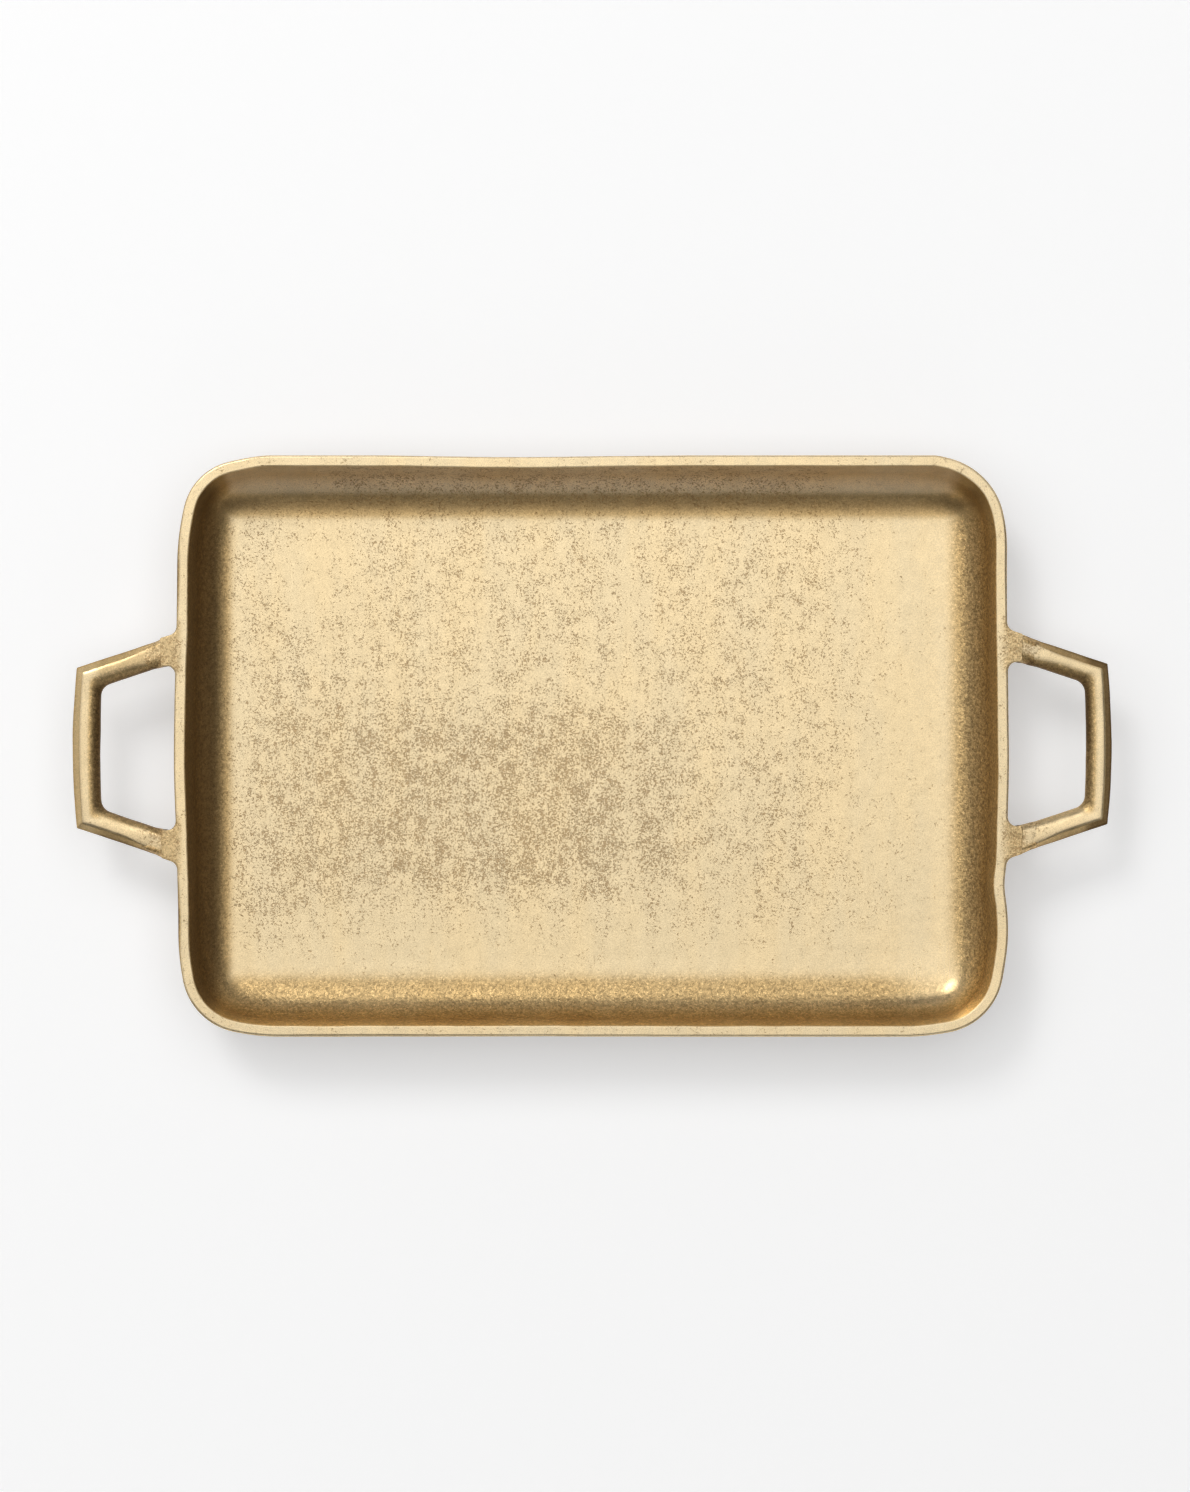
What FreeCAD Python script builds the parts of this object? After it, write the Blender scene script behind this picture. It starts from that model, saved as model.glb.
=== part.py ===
"""Cast brass serving tray: a shallow rectangular pan with a flat-dressed rim, and a loop handle at each end.

Millimetres. +Z is up and +X runs along the tray through both handles. The origin is at the middle of the
footprint, on the surface that the tray stands on. The pan is one casting. Four flared lugs on its end walls
are dressed flush with the rim, and each handle's two arms are butt-brazed to them. The tray stands on four
felt feet, each held to the underside by a disc of adhesive film.
"""

import FreeCAD, Part
import math
import os
from FreeCAD import Vector

# Whole tray
overall_length = 508.0  # over both handles
body_length = 405.0  # over the rim, without the handles
body_width = 284.0
overall_height = 38.0  # from the surface it stands on to the top of the rim

# Pan
rim_width = 5.4
wall_draft = 8.0  # degrees, both faces of the wall lean in towards the base
floor_thickness = 4.0
inner_fillet = 18.0  # between the floor and the inside of the wall
outer_fillet = 20.0  # between the underside and the outside of the wall
rim_outer_edge = 1.2  # small radius along the rim's outer edge
rim_inner_edge = 0.6
corner_radius = 32.0  # middle arc of a corner, measured on the rim's outer edge
corner_lead_radius = 120.0  # easing arcs that lead from the straight sides into a corner
corner_lead_angle = 12.0  # degrees turned by each easing arc

# Handles
grip_length = 78.4  # between the two sharp outer corners
grip_bow = 2.0  # how far the grip's outer edge bulges past those corners
arm_angle = 18.3  # degrees, each arm leans in from the tray's long axis
bar_width = 12.4
bar_height = 11.0
bar_facet = 3.3  # width in plan of the sloping outer facets
bar_inner_round = 4.4  # radius along the edges of the finger opening
opening_corner_radius = 6.5
crest_below_rim = 0.6  # the bar's top lies this far under the top of the rim
left_handle_shift = -1.0  # along Y, as set when the handles were fitted
right_handle_shift = 1.0

# Lugs that carry the handles
lug_length = 7.5  # out from the rim's outer edge to the brazed joint
lug_side_margin = 0.6  # how much wider than the bar a lug is on each side
lug_flare_radius = 5.0
lug_under_margin = 1.0  # how far a lug reaches below the bar
lug_bottom_round = 2.4
lug_root_depth = 3.0  # how far a lug runs into the wall

# Brazed joints
braze_gap = 0.4
braze_bead_scale = 1.06  # the bead stands a little proud of the bar all round

# Feet
foot_radius = 11.0
foot_thickness = 2.4
film_margin = 0.5  # how much smaller the adhesive disc's radius is than the foot's
film_thickness = 0.3
foot_inset = 27.5  # from the edge of the flat underside to a foot's centre

# Worked out from the sizes above
draft = math.radians(wall_draft)
lean = math.radians(arm_angle)
underside = foot_thickness + film_thickness
floor_top = underside + floor_thickness
rim_top = overall_height
half_length = body_length / 2
half_width = body_width / 2
bar_top = rim_top - crest_below_rim
bar_middle = bar_top - bar_height / 2
bar_bottom = bar_top - bar_height
joint_plane = half_length + lug_length
arm_end_plane = joint_plane + braze_gap
grip_corner_x = overall_length / 2 - grip_bow
plenty = 10.0  # overshoot of cutting tools


def draft_shift(height_below_rim):
    """How far the drafted wall has moved inwards at that depth below the rim."""
    return height_below_rim * math.tan(draft)


# The rounded outer edge would stop short of the stated body size, so the wall is moved out by this much
edge_shift = rim_outer_edge * (1 / math.cos(draft) + math.tan(draft) - 1)


# ---------------------------------------------------------------- pan


def fillet_centre_inset(wall_inset, base_height, radius):
    """Inset of the centre of a fillet between a horizontal face and a drafted wall."""
    return wall_inset + draft_shift(rim_top - base_height - radius) + radius / math.cos(draft)


def pan_section():
    """The wall's section as a closed face: X is the distance in from the rim's outer edge, Z is height."""

    def at(inset, height):
        return Vector(inset, 0, height)

    def on_wall(centre, radius, side):
        """Where a radius meets the wall: side -1 for the arcs whose wall lies outside the centre."""
        return centre + Vector(math.cos(draft), 0, math.sin(draft)) * radius * side

    def arc(start, centre, radius, end):
        middle = ((start - centre) + (end - centre)).normalize() * radius + centre
        return Part.Arc(start, middle, end).toShape()

    outer_wall = -edge_shift
    inner_wall = rim_width
    base_centre = at(fillet_centre_inset(outer_wall, underside, outer_fillet), underside + outer_fillet)
    base_start = at(base_centre.x, underside)
    base_end = on_wall(base_centre, outer_fillet, -1)

    outer_edge_inset = outer_wall + draft_shift(rim_outer_edge) + rim_outer_edge / math.cos(draft)
    outer_edge_centre = at(outer_edge_inset, rim_top - rim_outer_edge)
    outer_edge_start = on_wall(outer_edge_centre, rim_outer_edge, -1)
    outer_edge_end = at(outer_edge_centre.x, rim_top)

    inner_edge_inset = inner_wall + draft_shift(rim_inner_edge) - rim_inner_edge / math.cos(draft)
    inner_edge_centre = at(inner_edge_inset, rim_top - rim_inner_edge)
    inner_edge_start = at(inner_edge_centre.x, rim_top)
    inner_edge_end = on_wall(inner_edge_centre, rim_inner_edge, 1)

    floor_centre = at(fillet_centre_inset(inner_wall, floor_top, inner_fillet), floor_top + inner_fillet)
    floor_start = on_wall(floor_centre, inner_fillet, -1)
    floor_end = at(floor_centre.x, floor_top)

    cut = floor_slab_inset()
    edges = [
        Part.makeLine(at(cut, underside), base_start),
        arc(base_start, base_centre, outer_fillet, base_end),
        Part.makeLine(base_end, outer_edge_start),
        arc(outer_edge_start, outer_edge_centre, rim_outer_edge, outer_edge_end),
        Part.makeLine(outer_edge_end, inner_edge_start),
        arc(inner_edge_start, inner_edge_centre, rim_inner_edge, inner_edge_end),
        Part.makeLine(inner_edge_end, floor_start),
        arc(floor_start, floor_centre, inner_fillet, floor_end),
        Part.makeLine(floor_end, at(cut, floor_top)),
        Part.makeLine(at(cut, floor_top), at(cut, underside)),
    ]
    return Part.Face(Part.Wire(edges))


def floor_slab_inset():
    """The section ends and the plain floor slab begins just inside both fillets."""
    inner = fillet_centre_inset(rim_width, floor_top, inner_fillet)
    outer = fillet_centre_inset(-edge_shift, underside, outer_fillet)
    return max(inner, outer) + 1.0


def corner_run():
    """How much of each side one corner takes up."""
    lead = math.radians(corner_lead_angle)
    easing = corner_lead_radius * (math.sin(lead) + 1 - math.cos(lead))
    return easing + corner_radius * (math.cos(lead) - math.sin(lead))


def outline_segments():
    """The rim's outer edge, anticlockwise from the +X side's lower end.

    Each segment is (kind, start, heading, size, radius). Its heading is in degrees, and its size is a length
    for a line and an angle in degrees for an arc.
    """
    sides = [body_width, body_length, body_width, body_length]
    turns = [
        (corner_lead_radius, corner_lead_angle),
        (corner_radius, 90 - 2 * corner_lead_angle),
        (corner_lead_radius, corner_lead_angle),
    ]
    point = Vector(half_length, -half_width + corner_run(), 0)
    heading = 90.0
    segments = []
    for side in sides:
        length = side - 2 * corner_run()
        segments.append(("line", point, heading, length, 0))
        point = point + unit(heading) * length
        for radius, angle in turns:
            segments.append(("arc", point, heading, angle, radius))
            centre = point + unit(heading + 90) * radius
            heading += angle
            point = centre + unit(heading - 90) * radius
    return segments


def unit(degrees):
    return Vector(math.cos(math.radians(degrees)), math.sin(math.radians(degrees)), 0)


def pan_wall():
    """The section carried round the outline: pushed along each side and turned through each arc."""
    section = pan_section()
    pieces = []
    for kind, start, heading, size, radius in outline_segments():
        placed = section.copy()
        placed.rotate(Vector(), Vector(0, 0, 1), heading + 90)
        placed.translate(start)
        if kind == "line":
            pieces.append(placed.extrude(unit(heading) * size))
        else:
            centre = start + unit(heading + 90) * radius
            pieces.append(placed.revolve(centre, Vector(0, 0, 1), size))
    return pieces


def outline_face(inset, height):
    """The area inside the outline, moved in by an inset."""
    edges = []
    for kind, start, heading, size, radius in outline_segments():
        inwards = unit(heading + 90)
        first = start + inwards * inset + Vector(0, 0, height)
        if kind == "line":
            edges.append(Part.makeLine(first, first + unit(heading) * size))
        else:
            centre = start + inwards * radius + Vector(0, 0, height)
            middle = centre + unit(heading - 90 + size / 2) * (radius - inset)
            last = centre + unit(heading - 90 + size) * (radius - inset)
            edges.append(Part.Arc(first, middle, last).toShape())
    return Part.Face(Part.Wire(edges))


def floor_slab():
    return outline_face(floor_slab_inset(), underside).extrude(Vector(0, 0, floor_thickness))


def arm_edge(x, side):
    """Half-distance between the arms' outer edges (side 1) or inner edges (side -1) at a distance x along."""
    outer = grip_length / 2 + (grip_corner_x - x) * math.tan(lean)
    return outer if side > 0 else outer - bar_width / math.cos(lean)


def lug():
    """The +X, +Y lug for a handle with no shift: its plan pushed down from the rim, and rounded below."""
    lug_depth = crest_below_rim + bar_height + lug_under_margin
    face_x = half_length - draft_shift(lug_depth / 2)  # the wall's face at the lug's mid-height
    root_x = half_length - lug_root_depth
    side_normal = Vector(math.sin(lean), math.cos(lean), 0)
    flare_x = face_x + lug_flare_radius

    def side_y(x, side):
        return arm_edge(x, side) + side * lug_side_margin / math.cos(lean)

    def flare(side):
        """Start on the wall, middle and end of the concave arc between the wall and the lug's side."""
        centre = Vector(flare_x, side_y(flare_x, side) + side * lug_flare_radius / math.cos(lean), 0)
        start = Vector(face_x, centre.y, 0)
        end = centre - side_normal * side * lug_flare_radius
        middle = centre + ((start - centre) + (end - centre)).normalize() * lug_flare_radius
        return start, middle, end

    outer_start, outer_middle, outer_end = flare(1)
    inner_start, inner_middle, inner_end = flare(-1)
    outer_tip = Vector(joint_plane, side_y(joint_plane, 1), 0)
    inner_tip = Vector(joint_plane, side_y(joint_plane, -1), 0)
    outer_root = Vector(root_x, outer_start.y, 0)
    inner_root = Vector(root_x, inner_start.y, 0)
    plan = Part.Wire(
        [
            Part.makeLine(outer_root, outer_start),
            Part.Arc(outer_start, outer_middle, outer_end).toShape(),
            Part.makeLine(outer_end, outer_tip),
            Part.makeLine(outer_tip, inner_tip),
            Part.makeLine(inner_tip, inner_end),
            Part.Arc(inner_end, inner_middle, inner_start).toShape(),
            Part.makeLine(inner_start, inner_root),
            Part.makeLine(inner_root, outer_root),
        ]
    )
    body = Part.Face(plan).extrude(Vector(0, 0, lug_depth))
    body.translate(Vector(0, 0, rim_top - lug_depth))
    foot = [
        edge
        for edge in body.Edges
        if edge.BoundBox.ZMax < rim_top - lug_depth / 2
        and edge.CenterOfMass.x > face_x
        and edge.BoundBox.XLength > 0.1
    ]
    return body.makeFillet(lug_bottom_round, foot)


def on_both_arms(part, shift, end):
    """A +X, +Y part and its mirror image on the other arm, at the tray's end 1 (+X) or -1 (-X)."""
    other = part.mirror(Vector(), Vector(0, 1, 0))
    pair = [part.copy(), other]
    for piece in pair:
        piece.translate(Vector(0, shift, 0))
    if end < 0:
        pair = [piece.mirror(Vector(), Vector(1, 0, 0)) for piece in pair]
    return pair


def tray_pan():
    lugs = on_both_arms(lug(), right_handle_shift, 1) + on_both_arms(lug(), left_handle_shift, -1)
    walls = pan_wall()
    pan = walls[0].multiFuse(walls[1:] + [floor_slab()] + lugs)
    return pan.removeSplitter()


# ---------------------------------------------------------------- handles


def grip_curve_radius():
    """Radius of the grip's bowed outer edge, from its chord and its bow."""
    return (grip_length**2 / 4 + grip_bow**2) / (2 * grip_bow)


def handle_plan(inset):
    """The handle's outer outline in plan, moved in by an inset, with arms that run on past their ends."""
    inner_reach = inset / math.cos(lean)
    radius = grip_curve_radius() - inset
    centre_x = overall_length / 2 - grip_curve_radius()

    def arm_y(x):
        return arm_edge(x, 1) - inner_reach

    # The corner lies where the moved arm edge meets the moved grip curve
    slope = -math.tan(lean)
    start_gap = arm_y(centre_x)
    a = 1 + slope**2
    b = slope * start_gap
    c = start_gap**2 - radius**2
    corner_x = centre_x + (-b + math.sqrt(b**2 - a * c)) / a
    corner = Vector(corner_x, arm_y(corner_x), 0)
    mirrored = Vector(corner.x, -corner.y, 0)
    root_x = arm_end_plane - plenty / 2
    root = Vector(root_x, arm_y(root_x), 0)
    mirrored_root = Vector(root.x, -root.y, 0)
    tip = Vector(centre_x + radius, 0, 0)
    return [root, corner, tip, mirrored, mirrored_root]


def plan_wire(inset, height):
    root, corner, tip, mirrored, mirrored_root = [
        point + Vector(0, 0, height) for point in handle_plan(inset)
    ]
    return Part.Wire(
        [
            Part.makeLine(mirrored_root, mirrored),
            Part.Arc(mirrored, tip, corner).toShape(),
            Part.makeLine(corner, root),
            Part.makeLine(root, mirrored_root),
        ]
    )


def finger_opening():
    """The tool that cuts the space for the fingers, open towards the tray."""
    inside_x = overall_length / 2 - bar_width
    near_x = arm_end_plane - plenty

    def corner(x, side):
        return Vector(x, side * arm_edge(x, -1), bar_bottom - plenty)

    plan = Part.makePolygon(
        [corner(near_x, 1), corner(inside_x, 1), corner(inside_x, -1), corner(near_x, -1), corner(near_x, 1)]
    )
    tool = Part.Face(plan).extrude(Vector(0, 0, bar_height + 2 * plenty))
    upright = [
        edge
        for edge in tool.Edges
        if edge.BoundBox.ZLength > bar_height and edge.CenterOfMass.x > inside_x - 1
    ]
    return tool.makeFillet(opening_corner_radius, upright)


def handle():
    """The +X handle with no shift: faceted outside, rounded towards the fingers, its arms cut square."""
    upper = Part.makeLoft([plan_wire(0, bar_middle), plan_wire(bar_facet, bar_top)], True, True)
    lower = Part.makeLoft([plan_wire(bar_facet, bar_bottom), plan_wire(0, bar_middle)], True, True)
    bar = upper.fuse(lower).removeSplitter().cut(finger_opening())
    inner_edges = [edge for edge in bar.Edges if is_opening_edge(edge)]
    bar = bar.makeFillet(bar_inner_round, inner_edges)
    low_corner = Vector(arm_end_plane - 2 * plenty, -body_width / 2, bar_bottom - plenty)
    beyond_joint = Part.makeBox(2 * plenty, body_width, bar_height + 2 * plenty, low_corner)
    return bar.cut(beyond_joint).removeSplitter()


def is_opening_edge(edge):
    """True for the edges where the finger opening meets the bar's top and bottom."""
    flat = edge.BoundBox.ZLength < 0.01
    level = min(abs(edge.BoundBox.ZMax - bar_top), abs(edge.BoundBox.ZMax - bar_bottom)) < 0.01
    at_cut_end = edge.BoundBox.XLength < 0.01 and edge.CenterOfMass.x < arm_end_plane
    if not (flat and level) or at_cut_end:
        return False
    middle = edge.CenterOfMass
    halfway_across_arm = arm_edge(middle.x, 1) - bar_width / 2 / math.cos(lean)
    halfway_across_grip = overall_length / 2 - bar_width + bar_inner_round / 2
    return middle.x < halfway_across_grip and abs(middle.y) < halfway_across_arm


def braze_joint(bar):
    """The filler metal at the +X, +Y joint: the arm's end face, a little larger, across the gap."""
    ends = [
        face
        for face in bar.Faces
        if abs(face.BoundBox.XMax - arm_end_plane) < 0.01
        and face.BoundBox.XLength < 0.01
        and face.CenterOfMass.y > 0
    ]
    bead = ends[0].copy()
    bead.scale(braze_bead_scale, ends[0].CenterOfMass)
    return bead.extrude(Vector(-braze_gap, 0, 0))


# ---------------------------------------------------------------- feet


def foot_places():
    """Name and centre of each foot, inset from the flat part of the underside."""
    flat_inset = fillet_centre_inset(-edge_shift, underside, outer_fillet) + foot_inset
    x = half_length - flat_inset
    y = half_width - flat_inset
    return {
        "front_left": Vector(-x, -y, 0),
        "front_right": Vector(x, -y, 0),
        "rear_left": Vector(-x, y, 0),
        "rear_right": Vector(x, y, 0),
    }


def felt_foot(place):
    return Part.makeCylinder(foot_radius, foot_thickness, place)


def adhesive_film(place):
    return Part.makeCylinder(foot_radius - film_margin, film_thickness, place + Vector(0, 0, foot_thickness))


# ---------------------------------------------------------------- all parts


def all_parts():
    parts = {"tray_pan": tray_pan()}
    bar = handle()
    bead = braze_joint(bar)
    for side, end, shift in (("left", -1, left_handle_shift), ("right", 1, right_handle_shift)):
        parts[side + "_handle"] = on_both_arms(bar, shift, end)[0]
        rear, front = on_both_arms(bead, shift, end)
        parts[side + "_rear_braze"] = rear
        parts[side + "_front_braze"] = front
    for corner, place in foot_places().items():
        parts[corner + "_foot"] = felt_foot(place)
        parts[corner + "_foot_adhesive"] = adhesive_film(place)
    return parts


os.makedirs("parts", exist_ok=True)
for name, shape in all_parts().items():
    shape.exportStep("parts/" + name + ".step")
    print(name, "solids", len(shape.Solids), "valid", shape.isValid(), "volume mm3", round(shape.Volume, 1))
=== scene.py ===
"""Looks of the brass tray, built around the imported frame. Metres, in the frame's own axes.

The pan, the two handles, the four brazed joints and the four felt feet are meshes built here. The adhesive
discs are the CAD nodes themselves with a material.
"""

import math

import bpy
import numpy as np
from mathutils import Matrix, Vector, noise


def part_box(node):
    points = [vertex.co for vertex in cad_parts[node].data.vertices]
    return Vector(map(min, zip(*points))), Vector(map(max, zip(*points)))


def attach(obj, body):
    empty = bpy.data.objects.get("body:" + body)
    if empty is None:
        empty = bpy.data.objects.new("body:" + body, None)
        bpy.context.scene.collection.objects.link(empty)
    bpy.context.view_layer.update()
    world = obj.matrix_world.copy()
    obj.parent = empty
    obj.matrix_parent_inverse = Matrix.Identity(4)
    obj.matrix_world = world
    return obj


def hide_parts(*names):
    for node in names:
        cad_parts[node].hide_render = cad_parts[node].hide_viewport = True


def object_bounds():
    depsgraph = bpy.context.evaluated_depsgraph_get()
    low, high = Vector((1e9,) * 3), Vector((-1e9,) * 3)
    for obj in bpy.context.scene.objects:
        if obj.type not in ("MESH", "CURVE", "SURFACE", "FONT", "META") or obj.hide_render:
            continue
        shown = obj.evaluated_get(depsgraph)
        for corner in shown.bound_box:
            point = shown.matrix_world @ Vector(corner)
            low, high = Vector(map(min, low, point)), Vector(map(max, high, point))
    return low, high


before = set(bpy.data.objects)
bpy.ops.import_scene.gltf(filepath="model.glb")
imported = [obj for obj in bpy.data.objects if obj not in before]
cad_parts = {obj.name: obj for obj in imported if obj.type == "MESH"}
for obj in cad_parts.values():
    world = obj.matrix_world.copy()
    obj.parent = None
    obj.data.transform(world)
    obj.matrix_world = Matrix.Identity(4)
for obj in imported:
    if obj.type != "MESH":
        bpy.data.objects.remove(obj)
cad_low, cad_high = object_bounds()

MM = 0.001
PAN_LOW, PAN_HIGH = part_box("tray_pan")

# ---------------- sizes

RIM_TOP = PAN_HIGH.z
UNDERSIDE = PAN_LOW.z
LUG_LENGTH = 7.5 * MM  # from the rim's outer edge to the brazed joint
HALF_LENGTH = PAN_HIGH.x - LUG_LENGTH
HALF_WIDTH = PAN_HIGH.y
JOINT_PLANE = PAN_HIGH.x

RIM_WIDTH = 5.4 * MM
DRAFT = math.radians(8)
FLOOR_TOP = UNDERSIDE + 4.0 * MM
INNER_FILLET = 18.0 * MM
OUTER_FILLET = 20.0 * MM
RIM_OUTER_EDGE = 1.2 * MM
RIM_INNER_EDGE = 0.6 * MM
FLOOR_SLOPE = math.radians(3)  # the floor's slope where it meets the fillet
FLOOR_EASE_RUN = 13.0 * MM  # over which the floor bends up to that slope
FLOOR_RISE = FLOOR_EASE_RUN * math.tan(FLOOR_SLOPE) / 2
FILLET_BASE = FLOOR_TOP + FLOOR_RISE - INNER_FILLET * (1 - math.cos(FLOOR_SLOPE))

# The three arcs of each corner: the middle radius, the easing radius and the angle that the easing turns
CORNERS = {
    "lower_right": (32 * MM, 150 * MM, math.radians(10)),
    "upper_right": (34 * MM, 80 * MM, math.radians(13)),
    "upper_left": (29 * MM, 120 * MM, math.radians(14)),
    "lower_left": (32 * MM, 120 * MM, math.radians(12)),
}

ARM_ANGLE = math.radians(18.3)  # each arm leans in from the tray's long axis
GRIP_LENGTH = 78.4 * MM  # between the two sharp outer corners
GRIP_BOW = 2.0 * MM  # how far the grip's outer edge bulges past those corners
BAR_WIDTH = 12.4 * MM
HANDLE_SHIFT = 1.0 * MM  # the right handle sits this far towards +Y, and the left one towards -Y
LUG_MARGIN = 0.6 * MM  # how much wider than the bar a lug is on each side
LUG_FLARE = 4.6 * MM  # radius in plan, where a lug leaves the rim
LUG_TIP_ROUND = 0.8 * MM
LUG_DEPTH = 12.6 * MM  # from the rim's top to the lugs' undersides
LUG_BOTTOM_ROUND = 2.4 * MM
LUG_ROOT_FILLET = 2.0 * MM  # under a lug, where it leaves the wall


def smooth(t):
    """0 below 0, 1 above 1, and an S-curve between."""
    t = np.clip(t, 0, 1)
    return t * t * (3 - 2 * t)


def hand_noise(x, y, z, wavelength, seed):
    """A smooth value about from -1 to 1 that changes over that wavelength."""
    return noise.noise(Vector((x, y, z)) / wavelength + Vector((seed, 3.7 * seed, 1.3 * seed)))


def wander(points, amount, wavelength, seed):
    """For each point of a plan, a smooth, uneven offset of about that amount at most."""
    return np.array([amount * hand_noise(x, y, 0, wavelength, seed) for x, y in points])


def make_piece(name, vertices, faces, material, zones=None, uv=None):
    """A smooth-shaded mesh piece that rides on the frame's one body. Its caps of many sides stay flat.

    zones gives each vertex a value for each name, which its material reads.
    """
    mesh = bpy.data.meshes.new(name)
    mesh.from_pydata([tuple(v) for v in vertices], [], [tuple(int(i) for i in f) for f in faces])
    if uv is not None:
        layer = mesh.uv_layers.new(name="OFBake")
        layer.data.foreach_set("uv", np.asarray(uv, np.float32).ravel())
    for zone, values in (zones or {}).items():
        layer = mesh.attributes.new(zone, "FLOAT", "POINT")
        layer.data.foreach_set("value", np.asarray(values, np.float32))
    mesh.polygons.foreach_set("use_smooth", [len(f) <= 4 for f in faces])
    mesh.materials.append(material)
    piece = bpy.data.objects.new(name, mesh)
    bpy.context.scene.collection.objects.link(piece)
    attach(piece, "root")
    return piece


# ---------------- the pan's outline

LONG_SIDE_POINTS = 68


def arm_edge_y(x, side):
    """Half-distance between the arms' outer edges (side 1) or inner edges (side -1) at that x."""
    corner_x = cad_high.x - GRIP_BOW
    outer = GRIP_LENGTH / 2 + (corner_x - x) * math.tan(ARM_ANGLE)
    return outer if side > 0 else outer - BAR_WIDTH / math.cos(ARM_ANGLE)


def arc_points(centre, radius, start, end, count):
    """Points on an arc, both ends included. Angles are in radians."""
    angles = np.linspace(start, end, count)
    return np.column_stack([centre[0] + radius * np.cos(angles), centre[1] + radius * np.sin(angles)])


def shares_along(points, weights=1):
    """How far along a line each of its points is, from 0 to 1, where each step counts by its weight."""
    steps = np.linalg.norm(np.diff(points, axis=0), axis=1) * weights
    return np.concatenate([[0], np.cumsum(steps)]) / steps.sum()


def lug_outline():
    """Plan of the +X, +Y lug, from its inner flare to its outer one, and how far along each point counts.

    The inner part counts for more, so that the lines from the rim to these points spread without crossing.
    """

    def side_y(x, side):
        return arm_edge_y(x, side) + side * LUG_MARGIN / math.cos(ARM_ANGLE)

    turn = math.pi / 2 - ARM_ANGLE
    flare_x = HALF_LENGTH + LUG_FLARE
    tip_x = JOINT_PLANE - LUG_TIP_ROUND
    flare_reach = LUG_FLARE / math.cos(ARM_ANGLE)
    tip_reach = LUG_TIP_ROUND / math.cos(ARM_ANGLE)
    inner_flare = (flare_x, side_y(flare_x, -1) - flare_reach)
    inner_tip = (tip_x, side_y(tip_x, -1) + tip_reach)
    outer_tip = (tip_x, side_y(tip_x, 1) - tip_reach)
    outer_flare = (flare_x, side_y(flare_x, 1) + flare_reach)
    inner_arc = arc_points(inner_flare, LUG_FLARE, math.pi, turn, 10)
    inner_corner = arc_points(inner_tip, LUG_TIP_ROUND, turn - math.pi, 0, 6)
    outer_corner = arc_points(outer_tip, LUG_TIP_ROUND, 0, turn, 6)
    outer_arc = arc_points(outer_flare, LUG_FLARE, turn + math.pi, math.pi, 9)
    inner_side = np.linspace(inner_arc[-1], inner_corner[0], 3)[1:-1]
    tip = np.linspace(inner_corner[-1], outer_corner[0], 8)[1:-1]
    outer_side = np.linspace(outer_corner[-1], outer_arc[0], 3)[1:-1]
    lug = np.vstack([inner_arc, inner_side, inner_corner, tip, outer_corner, outer_side, outer_arc])
    weights = np.full(len(lug) - 1, 0.9)
    before_tip = len(inner_arc) + len(inner_side) + len(inner_corner)
    weights[:before_tip] = 1.6
    weights[before_tip : before_tip + len(tip)] = 0.6
    return lug, shares_along(lug, weights)


def side_columns(low, high, shift):
    """The +X side from low to high: plain points and lug points, with both lugs moved by the shift."""
    rear, rear_along = lug_outline()
    front = rear[::-1] * (1, -1)
    front_along = 1 - rear_along[::-1]
    plain, lugged = [], []

    def add(y, out=None):
        points = np.column_stack([np.full(len(y), HALF_LENGTH), y])
        plain.append(points)
        lugged.append(points if out is None else out)

    at = low
    for lug, along, first, steps in ((front, front_along, 0, 9), (rear, rear_along, 1, 18)):
        moved = lug + (0, shift)
        start, end = moved[0, 1], moved[-1, 1]
        add(np.linspace(at, start, steps + 1)[first:-1])
        add(start + (end - start) * along, moved)
        at = end
    add(np.linspace(at, high, 10)[1:])
    return np.vstack(plain), np.vstack(lugged)


def half_corner(start, heading, turn, corner):
    """Points from a straight side's end to a corner's middle. turn is 1 to the left and -1 to the right."""
    radius, easing, angle = corner
    points = []
    at = np.array(start)
    for r, sweep, count in ((easing, angle, 7), (radius, math.pi / 4 - angle, 8)):
        centre = at + turn * r * np.array([-math.sin(heading), math.cos(heading)])
        first = heading - turn * math.pi / 2
        arc = arc_points(centre, r, first, first + turn * sweep, count + 1)
        points.append(arc[1:])
        at = arc[-1]
        heading += turn * sweep
    return np.vstack(points)


def corner_run(corner):
    """How much of each side a corner takes up."""
    radius, easing, angle = corner
    return easing * (math.sin(angle) + 1 - math.cos(angle)) + radius * (math.cos(angle) - math.sin(angle))


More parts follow.
